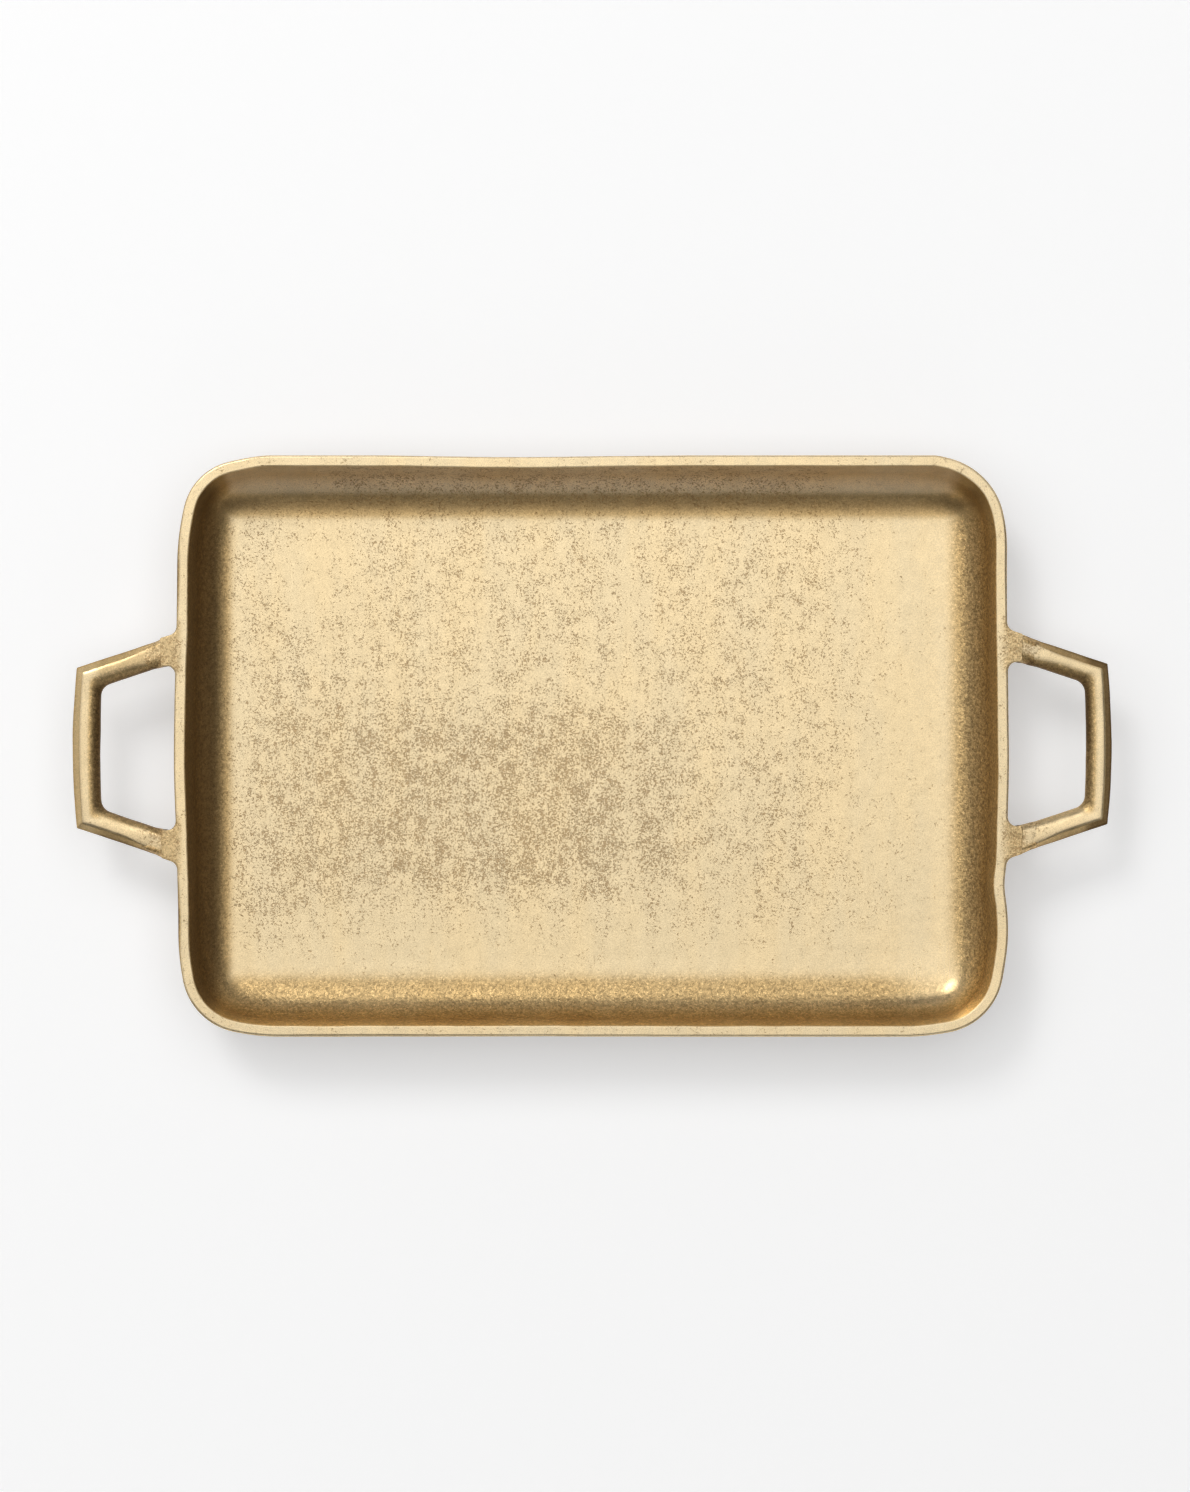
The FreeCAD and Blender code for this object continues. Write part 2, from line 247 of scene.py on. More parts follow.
def outline():
    """The rim's outer edge, anticlockwise from the middle of the lower right corner.

    Returns the plain points, the points with lugs, and the number of columns on an end and on a long side.
    """
    run = {name: corner_run(corner) for name, corner in CORNERS.items()}

    def end_side(lower, upper, shift, mirror):
        """An end of the tray from its lower corner's middle to its upper corner's middle."""
        low = -HALF_WIDTH + run[lower]
        high = HALF_WIDTH - run[upper]
        before = half_corner((HALF_LENGTH, low), -math.pi / 2, -1, CORNERS[lower])[::-1]
        after = half_corner((HALF_LENGTH, high), math.pi / 2, 1, CORNERS[upper])
        ways = [np.vstack([before, side, after]) for side in side_columns(low, high, shift)]
        return [way[::-1] * (-1, 1) for way in ways] if mirror else ways

    def long_side(right, left, mirror):
        """The +Y side from its right corner's middle to its left corner's middle."""
        start = HALF_LENGTH - run[right]
        end = -HALF_LENGTH + run[left]
        before = half_corner((start, HALF_WIDTH), 0, -1, CORNERS[right])[::-1]
        after = half_corner((end, HALF_WIDTH), math.pi, 1, CORNERS[left])
        x = np.linspace(start, end, LONG_SIDE_POINTS)
        points = np.vstack([before, np.column_stack([x, np.full(len(x), HALF_WIDTH)]), after])
        return points[::-1] * (1, -1) if mirror else points

    right, right_out = end_side("lower_right", "upper_right", HANDLE_SHIFT, False)
    left, left_out = end_side("lower_left", "upper_left", -HANDLE_SHIFT, True)
    top = long_side("upper_right", "upper_left", False)
    bottom = long_side("lower_right", "lower_left", True)
    plain = np.vstack([right[:-1], top[:-1], left[:-1], bottom[:-1]])
    lugged = np.vstack([right_out[:-1], top[:-1], left_out[:-1], bottom[:-1]])
    return plain, lugged, len(right) - 1, len(top) - 1


def inward_normals(points):
    """Unit normals to the left of a closed anticlockwise line."""
    along = np.roll(points, -1, axis=0) - np.roll(points, 1, axis=0)
    normals = np.column_stack([-along[:, 1], along[:, 0]])
    return normals / np.linalg.norm(normals, axis=1)[:, None]


# ---------------- the pan

# Places where handwork left the rim a little out or in: the side's direction, then in mm how far along that
# side, over what half-width, and how far out
HAND_WORK = [
    ((0, 1), -136, 34, 0.7),
    ((0, 1), -40, 60, -0.9),
    ((0, 1), 128, 46, 1.5),
    ((0, -1), 98, 44, 0.6),
    ((0, -1), -30, 60, -0.3),
    ((1, 0), -68, 9, -1.3),
    ((1, 0), -94, 14, 0.5),
    ((1, 0), 0, 40, 0.9),
    ((-1, 0), 0, 44, 1.7),
    ((-1, 0), -84, 26, -0.5),
]

# Places where the rim's outer edge was filed to a wider bevel: the same, with how much wider
FILED_EDGE = [
    ((-1, 0), 82, 14, 1.6),
    ((-1, 0), -86, 15, 1.7),
    ((0, -1), -120, 40, 0.3),
    ((1, 0), 92, 16, 0.3),
]


def bumps(points, normals, places):
    """The sum of the smooth bumps in places, for each point of the outline."""
    total = np.zeros(len(points))
    for side, along, half_width, height in places:
        faces_side = np.clip(-(normals @ np.array(side)), 0, 1) ** 4
        offset = (points @ np.abs(np.array(side[::-1]))) / MM - along
        total += faces_side * height * MM * np.exp(-((offset / half_width) ** 2))
    return total


def wall_shift(height):
    """How far the drafted wall has moved inwards at that height."""
    return (RIM_TOP - height) * math.tan(DRAFT)


def fillet_centre(wall_inset, base, radius):
    """Inset and height of the centre of a fillet between a floor and the wall."""
    return wall_inset + wall_shift(base + radius) + radius / math.cos(DRAFT), base + radius


EDGE_OUT = -RIM_OUTER_EDGE * (1 / math.cos(DRAFT) + math.tan(DRAFT) - 1)  # the outer wall's inset at the rim
LUG_FOOT = RIM_TOP - LUG_DEPTH
HANDWORK_RISE = (6 * MM, 32 * MM)  # heights over which the rim's handwork comes in
BOX_MARGIN = 0.1 * MM  # how far the long sides stay inside the CAD model's box


class Section:
    """Collects the rings of the pan's surface: from the underside, out over the rim, down to the floor."""

    def __init__(self, plain, lugged):
        self.plain = plain
        self.normal = inward_normals(plain)
        self.lug_normal = inward_normals(lugged)
        reach = np.abs(lugged[:, 0] - plain[:, 0])
        self.lug_share = reach / reach.max()
        ragged = wander(lugged, 0.5 * MM, 4.5 * MM, 15)
        self.lugged = lugged - (ragged * self.lug_share**2)[:, None] * np.sign(lugged) * (1, 0)
        gap = np.abs(plain[:, 1]).max() - np.abs(plain[:, 1])
        room = (gap - BOX_MARGIN) / np.maximum(np.abs(self.normal[:, 1]), 0.02)
        handwork = bumps(plain, self.normal, HAND_WORK) + wander(plain, 0.22 * MM, 34 * MM, 1)
        self.out = np.minimum(handwork, room)
        self.rings = []

    def place(self, plan, height):
        """Adds a ring of plan points at a height or heights, moved by the handwork."""
        start, end = HANDWORK_RISE
        push = self.out * smooth((height - start) / (end - start))
        plan = plan - self.normal * np.broadcast_to(push, len(plan))[:, None]
        self.rings.append(np.column_stack([plan, np.broadcast_to(height, len(plan))]))

    def on_wall(self, inset, height, lug=0.0):
        """Adds a ring at an inset from the rim's outer edge, that share of the way out to the lugs."""
        plan = self.plain + self.normal * np.broadcast_to(inset, len(self.plain))[:, None]
        out = lug * ((self.lugged - self.plain) + self.lug_share[:, None] * (self.plain - plan))
        self.place(plan + out, height)


def fillet_rings(section, wall_inset, base, radius, count, upwards, slope=0.0):
    """A fillet between a face of that slope and the wall, from the face if upwards."""
    centre, level = fillet_centre(wall_inset, base, radius)
    angles = np.linspace(slope, math.pi / 2 - DRAFT, count)
    for angle in angles if upwards else angles[::-1]:
        section.on_wall(centre - radius * math.sin(angle), level - radius * math.cos(angle))


def outside_rings(section):
    """From the underside's fillet up the outer wall and out round the lugs, to the rim's outer edge."""
    fillet_rings(section, EDGE_OUT, UNDERSIDE, OUTER_FILLET, 11, True)
    wall_start = section.rings[-1][0, 2]
    for height in np.linspace(wall_start, LUG_FOOT - LUG_ROOT_FILLET, 4)[1:]:
        section.on_wall(EDGE_OUT + wall_shift(height), height)

    # Under the lugs: a hollow fillet out from the wall, a flat, and a round up to their sides
    for angle in np.linspace(0, math.pi / 2, 5)[1:]:
        height = LUG_FOOT - LUG_ROOT_FILLET * (1 - math.sin(angle))
        share = LUG_ROOT_FILLET * (1 - math.cos(angle)) / LUG_LENGTH
        section.on_wall(EDGE_OUT + wall_shift(height), height, share)
    flat_end = 1 - LUG_BOTTOM_ROUND / LUG_LENGTH
    for share in np.linspace(LUG_ROOT_FILLET / LUG_LENGTH, flat_end, 4)[1:]:
        section.on_wall(EDGE_OUT + wall_shift(LUG_FOOT), LUG_FOOT + 0.02 * MM * share, share)
    for angle in np.linspace(0, math.pi / 2, 6)[1:]:
        height = LUG_FOOT + LUG_BOTTOM_ROUND * (1 - math.cos(angle))
        share = flat_end + LUG_BOTTOM_ROUND * math.sin(angle) / LUG_LENGTH
        section.on_wall(EDGE_OUT + wall_shift(height), height, share)

    below_edge = RIM_TOP - RIM_OUTER_EDGE
    for height in np.linspace(LUG_FOOT + LUG_BOTTOM_ROUND, below_edge - 0.3 * MM, 5)[1:]:
        section.on_wall(EDGE_OUT + wall_shift(height), height, 1)


def rim_rings(section):
    """The rim's filed outer round, its flat top and its inner round. Returns how the inner edge wanders."""
    plain = section.plain
    off_lug = 1 - smooth(section.lug_share / 0.5)
    bevel = RIM_OUTER_EDGE * (0.35 + 0.65 * off_lug) + off_lug * bumps(plain, section.normal, FILED_EDGE)
    bevel_drop = RIM_OUTER_EDGE + 0.35 * (bevel - RIM_OUTER_EDGE)
    grind = wander(plain, 0.10 * MM, 9 * MM, 5) * (1 - section.lug_share)
    for angle in np.linspace(0, math.pi / 2, 6):
        inset = bevel * (1 - math.cos(angle)) + grind * math.sin(angle)
        height = RIM_TOP - bevel_drop * (1 - math.sin(angle))
        section.place(section.lugged + section.lug_normal * inset[:, None], height)
    outer_line = section.lugged + section.lug_normal * (bevel + grind)[:, None]
    lip = wander(plain, 0.16 * MM, 13 * MM, 9) + wander(plain, 0.10 * MM, 5 * MM, 4)
    lip_inset = RIM_WIDTH - RIM_INNER_EDGE + lip
    inner_line = plain + section.normal * lip_inset[:, None]
    for share in (0.05, 0.25, 0.5, 0.75, 0.95, 1.0):
        section.place(outer_line + (inner_line - outer_line) * share, RIM_TOP)
    for angle in np.linspace(0, math.pi / 2 - DRAFT, 4)[1:]:
        inset = lip_inset + RIM_INNER_EDGE * math.sin(angle)
        height = RIM_TOP - RIM_INNER_EDGE * (1 - math.cos(angle))
        section.on_wall(inset, height)
    return lip


def inside_rings(section, lip):
    """Down the inner wall, and round the fillet to the floor."""
    centre, level = fillet_centre(RIM_WIDTH, FILLET_BASE, INNER_FILLET)
    wall_foot = level - INNER_FILLET * math.sin(DRAFT)
    for height in np.linspace(RIM_TOP - 1.4 * MM, wall_foot, 6)[:-1]:
        fade = smooth((height - wall_foot) / (RIM_TOP - wall_foot))
        section.on_wall(RIM_WIDTH + wall_shift(height) + lip * fade, height)
    fillet_rings(section, RIM_WIDTH, FILLET_BASE, INNER_FILLET, 15, False, FLOOR_SLOPE)


def ring_sides(closed, end_count, long_count):
    """The right, top, left and bottom sides of a closed ring, each from bottom to top or left to right."""
    half = end_count + long_count
    right = closed[: end_count + 1]
    top = closed[end_count : half + 1][::-1]
    left = closed[half : half + end_count + 1][::-1]
    return right, top, left, closed[half + end_count :]


def patch(ring, end_count, long_count):
    """Points of a grid that fills a ring. Its four corners are the middles of the ring's corners."""
    right, top, left, bottom = ring_sides(np.vstack([ring, ring[:1]]), end_count, long_count)
    u = shares_along(bottom)[:, None, None]
    v = shares_along(right)[None, :, None]
    grid = (1 - v) * bottom[:, None] + v * top[:, None] + (1 - u) * left[None] + u * right[None]
    grid -= (1 - u) * (1 - v) * bottom[0] + u * (1 - v) * bottom[-1]
    grid -= (1 - u) * v * top[0] + u * v * top[-1]
    return grid


def patch_numbers(first_ring, count, first_new, end_count, long_count):
    """Vertex numbers of a patch's grid: its edge belongs to the ring and its inside is new."""
    inside = np.arange((long_count - 1) * (end_count - 1)).reshape(long_count - 1, end_count - 1)
    numbers = np.pad(first_new + inside, 1)
    closed = first_ring + np.arange(count + 1) % count
    numbers[-1], numbers[:, -1], numbers[0], numbers[:, 0] = ring_sides(closed, end_count, long_count)
    return numbers


def ring_numbers(rings, count):
    """Vertex numbers of that many rings of points, with each ring's first number again at its end."""
    numbers = np.arange(rings * count).reshape(rings, count)
    return np.column_stack([numbers, numbers[:, 0]])


def grid_faces(numbers, flip):
    """Quads between the vertices of a grid of numbers, turned over if flip."""
    quads = np.stack([numbers[:-1, :-1], numbers[1:, :-1], numbers[1:, 1:], numbers[:-1, 1:]], axis=-1)
    quads = quads.reshape(-1, 4)
    return quads[:, ::-1] if flip else quads


def distance_to_line(points, line):
    """How far each point is from a closed line."""
    steps = np.roll(line, -1, axis=0) - line
    lengths = (steps**2).sum(axis=1)
    nearest = np.full(len(points), np.inf)
    for start, step, length in zip(line, steps, lengths):
        share = np.clip(((points - start) @ step) / length, 0, 1)
        gap = points - start - share[:, None] * step
        nearest = np.minimum(nearest, (gap**2).sum(axis=1))
    return np.sqrt(nearest)


def shape_floor(points, edge):
    """Bends the floor up towards its edge, and gives it the long, shallow waves of a casting."""
    near = np.clip(1 - distance_to_line(points[:, :2], edge[:, :2]) / FLOOR_EASE_RUN, 0, 1)
    waves = wander(points[:, :2], 0.10 * MM, 62 * MM, 7)
    points[:, 2] = FLOOR_TOP + FLOOR_RISE * near**2 + waves * (1 - near) ** 2
    return points


def unrolled(rings, start, outwards):
    """Flat map places for a run of rings: each lies outside the one before by the length between them."""
    places = [rings[start][:, :2]]
    normals = -inward_normals(rings[start][:, :2])
    order = range(start + 1, len(rings)) if outwards else range(start - 1, -1, -1)
    last = rings[start]
    for i in order:
        step = np.linalg.norm(rings[i] - last, axis=1)
        places.append(places[-1] + normals * step[:, None])
        last = rings[i]
    return places


def window(value, low, high, soft):
    """1 between low and high, falling to 0 over that softness on each side."""
    return smooth((value - low) / soft + 1) * smooth((high - value) / soft + 1)


# Each inner wall's dark patina and painted shade, differing from wall to wall as the shade each wall takes
# from
# the lights: how far in from the rim's outer edge it reaches and over how much it fades, both in mm, then
# how strong it is high on the wall and in the fillet
WALL_PATINA_AND_SHADE = {
    "left": (28.0, 15, 0.78, 0.82),
    "right": (31.5, 19, 0.60, 0.60),
    "top": (32.5, 10, 0.06, 0.62),
    "bottom": (35.0, 15, 0.33, 0.44),
}
WALL_TURN = (14, 22)  # mm in from the rim's outer edge, where the wall turns into its fillet


def wall_patina_and_shade(insets):
    """Patina and painted shade of the inner walls, from each place's inset from each of them in mm."""
    patina_and_shade = 0
    start, end = WALL_TURN
    for wall, (reach, fade, high, low) in WALL_PATINA_AND_SHADE.items():
        share = smooth((reach - insets[wall]) / fade)
        deep = smooth((insets[wall] - start) / (end - start))
        patina_and_shade = np.maximum(patina_and_shade, share * (high + (low - high) * deep))
    return patina_and_shade


def floor_pits(x, y):
    """How pitted the floor is: most left of the middle, and least in a smooth patch and a streak. In mm."""
    body = window(x, -140, 100, 75) * window(y, -66, 96, 55)
    dense = window(x, -115, 10, 50) * window(y, -50, -6, 36)
    left_margin = window(x, -180, -152, 16) * window(y, -80, 90, 40)
    smooth_patch = np.exp(-(((x + 143) / 22) ** 2) - ((y - 86) / 26) ** 2)
    streak = np.exp(-(((x - 19) / 5.5) ** 2))
    pits = 0.36 * body + 0.34 * dense + 0.17 * left_margin
    return pits * (1 - 0.8 * smooth_patch) * (1 - 0.4 * streak)


def pan_zones(vertices, first_inside):
    """What the brass needs to know of each place on the pan: patina and painted shade, pits, polish and
    painted light, calm.
    """
    x, y, z = vertices[:, 0] / MM, vertices[:, 1] / MM, vertices[:, 2]
    half_x = HALF_LENGTH / MM
    half_y = HALF_WIDTH / MM
    insets = {"left": x + half_x, "right": half_x - x, "top": half_y - y, "bottom": half_y + y}
    depth = (RIM_TOP - z) / MM
    rise = (z - FLOOR_TOP) / MM
    inside = (np.arange(len(vertices)) >= first_inside) & (rise > -1)
    below_rim = smooth(depth / 0.9)
    on_floor = smooth(1 - rise / 3) * inside
    on_rim = smooth(1 - depth / 0.6)
    on_lug = smooth((np.abs(x) - half_x + 4) / 4) * window(np.abs(y), 38, 60, 5)
    top_wall = window(x, -120, 100, 40) * smooth((26 - insets["top"]) / 6) * inside * below_rim

    # Outside, as-cast patina; it also paints the thin dark line along the rim's outer round as shade
    patina_and_shade = np.where(inside, wall_patina_and_shade(insets) * below_rim, 0.85 * smooth(depth / 0.5))
    patina_and_shade = np.maximum(patina_and_shade, 0.26 * on_rim * on_lug)
    pitting = floor_pits(x, y) * on_floor + 0.24
    pitting = np.maximum(pitting, on_rim * (0.42 + 0.35 * on_lug))
    pitting = np.maximum(pitting, 0.75 * top_wall)

    # Painted highlight where the key light reflects in the lower right corner: less patina, fewer pits and a
    # smoother surface. The top wall's upper part is left rough and paler: painted light
    polish_and_painted_light = np.exp(-(((x - 172) / 22) ** 2) - ((y + 118) / 18) ** 2) * inside
    patina_and_shade *= 1 - 0.45 * polish_and_painted_light
    pitting *= 1 - 0.9 * polish_and_painted_light
    polish_and_painted_light -= 2.2 * smooth((19 - insets["top"]) / 8) * inside * below_rim
    calm = np.maximum(smooth((34 - insets["top"]) / 8), 0.5 * smooth((34 - insets["left"]) / 8))
    calm = np.where(inside, calm, 0.5)
    return {"patina_and_shade": patina_and_shade, "pitting": pitting, "polish_and_painted_light": polish_and_painted_light, "calm": calm}


def pan_map(rings, under_inside, floor_inside, part_ring):
    """Two flat maps of the pan for textures, parted at a ring: the inside, larger, and the outside."""
    count = len(rings[0])
    first_under = len(rings) * count
    first_floor = first_under + len(under_inside)
    outer_places = unrolled(rings[: part_ring + 1], 0, True)
    inner_places = unrolled(rings[part_ring:], len(rings) - 1 - part_ring, False)
    inner = np.zeros((first_floor + len(floor_inside), 2))
    outer = np.zeros_like(inner)
    outer[: (part_ring + 1) * count] = np.vstack(outer_places)
    inner[part_ring * count : first_under] = np.vstack(inner_places[::-1])
    outer[first_under:first_floor] = under_inside[:, :2]
    inner[first_floor:] = floor_inside[:, :2]
    return inner * 1.88 + (0.5, 0.345), outer * 0.98 + (0.5, 0.825)


def make_pan(material):
    """The cast pan: rings from the underside's fillet to the floor's edge, and a grid to fill each end."""
    plain, lugged, end_count, long_count = outline()
    section = Section(plain, lugged)
    outside_rings(section)
    inside_rings(section, rim_rings(section))
    rings = section.rings
    count = len(plain)
    ring_points = np.vstack(rings)
    numbers = ring_numbers(len(rings), count)
    walls = grid_faces(numbers.T, False)

    under = patch(rings[0], end_count, long_count)
    floor = patch(rings[-1], end_count, long_count)
    under_inside = under[1:-1, 1:-1].reshape(-1, 3)
    floor_inside = shape_floor(floor[1:-1, 1:-1].reshape(-1, 3), rings[-1])
    first_under = len(ring_points)
    first_floor = first_under + len(under_inside)
    under_numbers = patch_numbers(0, count, first_under, end_count, long_count)
    floor_numbers = patch_numbers(numbers[-1, 0], count, first_floor, end_count, long_count)
    under_faces = grid_faces(under_numbers, True)
    floor_faces = grid_faces(floor_numbers, False)
    vertices = np.vstack([ring_points, under_inside, floor_inside])
    faces = np.vstack([walls, under_faces, floor_faces])

    part_ring = next(i for i, ring in enumerate(rings) if ring[0, 2] > RIM_TOP - RIM_OUTER_EDGE)
    inner, outer = pan_map(rings, under_inside, floor_inside, part_ring)
    on_inner_map = np.zeros(len(faces), bool)
    on_inner_map[: len(walls)] = np.arange(len(walls)) % (len(rings) - 1) >= part_ring
    on_inner_map[len(walls) + len(under_faces) :] = True
    uv = np.where(on_inner_map[:, None, None], inner[faces], outer[faces])

    zones = pan_zones(vertices, part_ring * count)
    pan = make_piece("tray_pan_cast", vertices, faces, material, zones, uv.reshape(-1, 2))
    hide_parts("tray_pan")


# ---------------- the handles

BAR_HALF = 5.5 * MM  # half of the bar's height
BAR_MIDDLE = RIM_TOP - 0.6 * MM - BAR_HALF
ARM_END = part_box("right_handle")[0].x
TIP = cad_high.x - 0.05 * MM  # the middle of the grip's outer edge
GRIP_INNER_BOW = 0.7 * MM
INNER_CORNER = 6.7 * MM  # radius in plan at the opening
OUTER_CORNER = 0.7 * MM  # the same, at the outer edge
PARTING = 2.6 * MM  # the outer parting line's height above the bar's middle
ROOT_RUN = 20 * MM  # over which the arm changes from the joint's section to the bar's
ARM_STEPS, CORNER_STEPS, GRIP_STEPS = 26, 9, 34


def upper_section(arris, flat_end, power):
    """The bar's upper half, from its outer parting line to its inner one: each point's inset and height.

    A facet climbs to the arris, a crown runs from there to flat_end, and a superellipse falls away.
    """
    facet_rise = 0.93 * BAR_HALF - PARTING
    facet = [(arris * t, PARTING + facet_rise * t**0.92) for t in (0, 0.04, 0.35, 0.7)]
    edge = [(arris * t, BAR_HALF * share) for t, share in ((0.88, 0.905), (1.02, 0.95), (1.2, 0.98))]
    crown = [(arris + (flat_end - arris) * t, BAR_HALF * (0.985 + 0.015 * t)) for t in (0.5, 0.8)]
    inner = []
    for angle in np.linspace(math.pi / 2, 0, 10):
        reach = (BAR_WIDTH - flat_end) * abs(math.cos(angle)) ** (2 / power)
        inner.append((flat_end + reach, BAR_HALF * math.sin(angle) ** (2 / power)))
    return np.array(facet + edge + crown + inner)


def closed_section(upper):
    """The whole section: the upper half, and its mirror image below with the same parting line."""
    lower = upper[1:-1][::-1] * (1, -1)
    return np.vstack([upper, lower])


BAR_SECTION = closed_section(upper_section(3.4 * MM, 5.2 * MM, 2.1))
ROOT_SECTION = closed_section(upper_section(1.7 * MM, 7.6 * MM, 2.3))


def root_share(x):
    """1 at the joint, falling to 0 where the arm has the bar's own section."""
    return 1 - smooth((x - ARM_END) / ROOT_RUN)


def grip_line(inset):
    """The grip's line at an inset: a function from y to x."""
    bow = (GRIP_BOW * (1 - inset / BAR_WIDTH) + GRIP_INNER_BOW * inset / BAR_WIDTH) / (GRIP_LENGTH / 2) ** 2
    return lambda y: TIP - inset - bow * y * y


def handle_line(inset):
    """A line of the +X handle's plan at that inset, from the rear arm's end to the front arm's."""
    inset = min(max(inset, 0), BAR_WIDTH)
    reach = inset / math.cos(ARM_ANGLE)
    grip_x = grip_line(inset)
    x = TIP - inset - GRIP_BOW
    for _ in range(6):
        x = grip_x(arm_edge_y(x, 1) - reach)
    corner = np.array([x, arm_edge_y(x, 1) - reach])
    radius = OUTER_CORNER + (INNER_CORNER - OUTER_CORNER) * (inset / BAR_WIDTH) ** 1.5
    turn = math.pi / 2 - ARM_ANGLE
    length = radius * math.tan(turn / 2)
    arm_way = np.array([-math.cos(ARM_ANGLE), math.sin(ARM_ANGLE)])
    arc_start = corner + arm_way * length
    centre = arc_start + radius * np.array([-math.sin(ARM_ANGLE), -math.cos(ARM_ANGLE)])
    arc = arc_points(centre, radius, turn, 0, CORNER_STEPS + 1)
    root = np.array([ARM_END, arm_edge_y(ARM_END, 1) - reach])
    share = np.linspace(0, 1, ARM_STEPS + 1)[:, None]
    arm = root + (arc_start - root) * share
    y = np.linspace(arc[-1, 1], 0, GRIP_STEPS // 2 + 1)
    gap = arc[-1, 0] - grip_x(y[0])
    grip = np.column_stack([grip_x(y) + gap * (y / y[0]) ** 4, y])
    half = np.vstack([arm[:-1], arc[:-1], grip])
    return np.vstack([half, half[-2::-1] * (1, -1)])


GRIP_EXTRA = {-1: 1.6 * MM, 1: 0}  # how much wider than the bar each side's grip is cast, at its opening


def swept_sections():
    """Points of the +X handle before it is shifted or cast: a ring round the bar for each step along it."""
    lines = []
    heights = []
    for bar, root in zip(BAR_SECTION, ROOT_SECTION):
        bar_line = handle_line(bar[0])
        near_root = root_share(bar_line[:, 0])
        lines.append(bar_line + (handle_line(root[0]) - bar_line) * near_root[:, None])
        heights.append(bar[1] + (root[1] - bar[1]) * near_root)
    plan = np.array(lines).transpose(1, 0, 2)
    return np.dstack([plan, BAR_MIDDLE + np.array(heights).T])


def handle_points(side, shift, seed):
    """Rings of points across the bar, one for each step along the handle, uneven as cast."""
    points = swept_sections()
    away = points - points.mean(axis=1, keepdims=True)
    away /= np.linalg.norm(away, axis=2, keepdims=True)
    for ring, ring_away in zip(points, away):
        off_joint = smooth((ring[:, 0].max() - ARM_END) / (3 * MM))
        for point, direction in zip(ring, ring_away):
            lump = 0.20 * hand_noise(*point, 17 * MM, seed) + 0.07 * hand_noise(*point, 6 * MM, seed + 1)
            point += direction * (lump - 0.06) * MM * (0.25 + 0.75 * off_joint)
    points[:, :, 0] = np.minimum(points[:, :, 0], cad_high.x - 0.02 * MM)
    far = np.clip((points[:, :, 0] - ARM_END) / (TIP - ARM_END), 0, 1)
    points[:, :, 0] -= far**1.6 * GRIP_EXTRA[side] * BAR_SECTION[:, 0] / BAR_WIDTH
    points[:, :, 0] *= side
    points[:, :, 1] += shift
    return points


# Patina and painted shade of each stretch of each handle: how dark it is outside, on top and inside, and how
# far across the bar the inner dark starts, as a share of its width. The painted shade darkens the sides that
# face +X, away from the key light, and the sides that face the tray
HANDLE_PATINA_AND_SHADE = {
    (-1, "grip"): (0.28, 0.08, 0.92, 0.48),
    (-1, "rear_arm"): (0.36, 0.26, 0.85, 0.62),
    (-1, "front_arm"): (0.55, 0.15, 0.80, 0.66),
    (1, "grip"): (0.80, 0.06, 0.88, 0.52),
    (1, "rear_arm"): (0.55, 0.06, 0.80, 0.50),
    (1, "front_arm"): (0.40, 0.10, 0.40, 0.74),
}


def across_patina_and_shade(side, stretch, inset, height):
    """Patina and painted shade across a stretch of the bar, from each point's inset and its height from the
    bar's middle.
    """
    outer, top, inner, start = HANDLE_PATINA_AND_SHADE[(side, stretch)]
    inset = inset / BAR_WIDTH
    outside = smooth((0.29 - inset) / 0.05)
    inward = smooth((inset - start) / 0.42)
    patina_and_shade = top + (outer - top) * outside + (inner - top) * inward
    patina_and_shade = np.maximum(patina_and_shade, (outer + 0.25) * smooth((0.06 - inset) / 0.05))
    return np.maximum(patina_and_shade, 0.75 * smooth(-height / (0.5 * BAR_HALF)))


def handle_zones(points, side, shift):
    """Patina and painted shade, and pits, for a handle's rings of points."""
    rings, count = points.shape[:2]
    x = np.abs(points[:, :, 0])
    y = points[:, :, 1] - shift
    height = points[:, :, 2] - BAR_MIDDLE
    inset = np.tile(BAR_SECTION[:, 0], (rings, 1))
    on_grip = smooth((x - cad_high.x + BAR_WIDTH + 3 * MM) / (6 * MM))
    rear = smooth(0.5 + y / (10 * MM))
    shares = {"grip": on_grip, "rear_arm": (1 - on_grip) * rear, "front_arm": (1 - on_grip) * (1 - rear)}
    patina_and_shade = sum(share * across_patina_and_shade(side, name, inset, height) for name, share in shares.items())
    root = root_share(x)
    calm = (1 - root) * smooth((0.5 * BAR_WIDTH - inset) / (0.2 * BAR_WIDTH)) + 0.4
    zones = {"patina_and_shade": patina_and_shade, "pitting": 0.28 + 0.40 * root, "calm": calm}
    return {name: values.ravel() for name, values in zones.items()}


def tube_faces(rings, count, flip):
    """Faces of a tube of rings, with a cap at each end, turned over if flip."""
    numbers = ring_numbers(rings, count)
    faces = [tuple(f) for f in grid_faces(numbers, flip)]
    first, last = tuple(numbers[0, :-1]), tuple(numbers[-1, :-1])
    return faces + ([first, last[::-1]] if not flip else [first[::-1], last])


def make_handle(name, side, shift, seed, material):
    """A cast handle on the +X side (1) or the -X side (-1)."""
    points = handle_points(side, shift, seed)
    rings, count = points.shape[:2]
    vertices = points.reshape(-1, 3)
    faces = tube_faces(rings, count, side > 0)
    zones = handle_zones(points, side, shift)
    handle = make_piece(name + "_cast", vertices, faces, material, zones)
    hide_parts(name)


# ---------------- the brazed joints

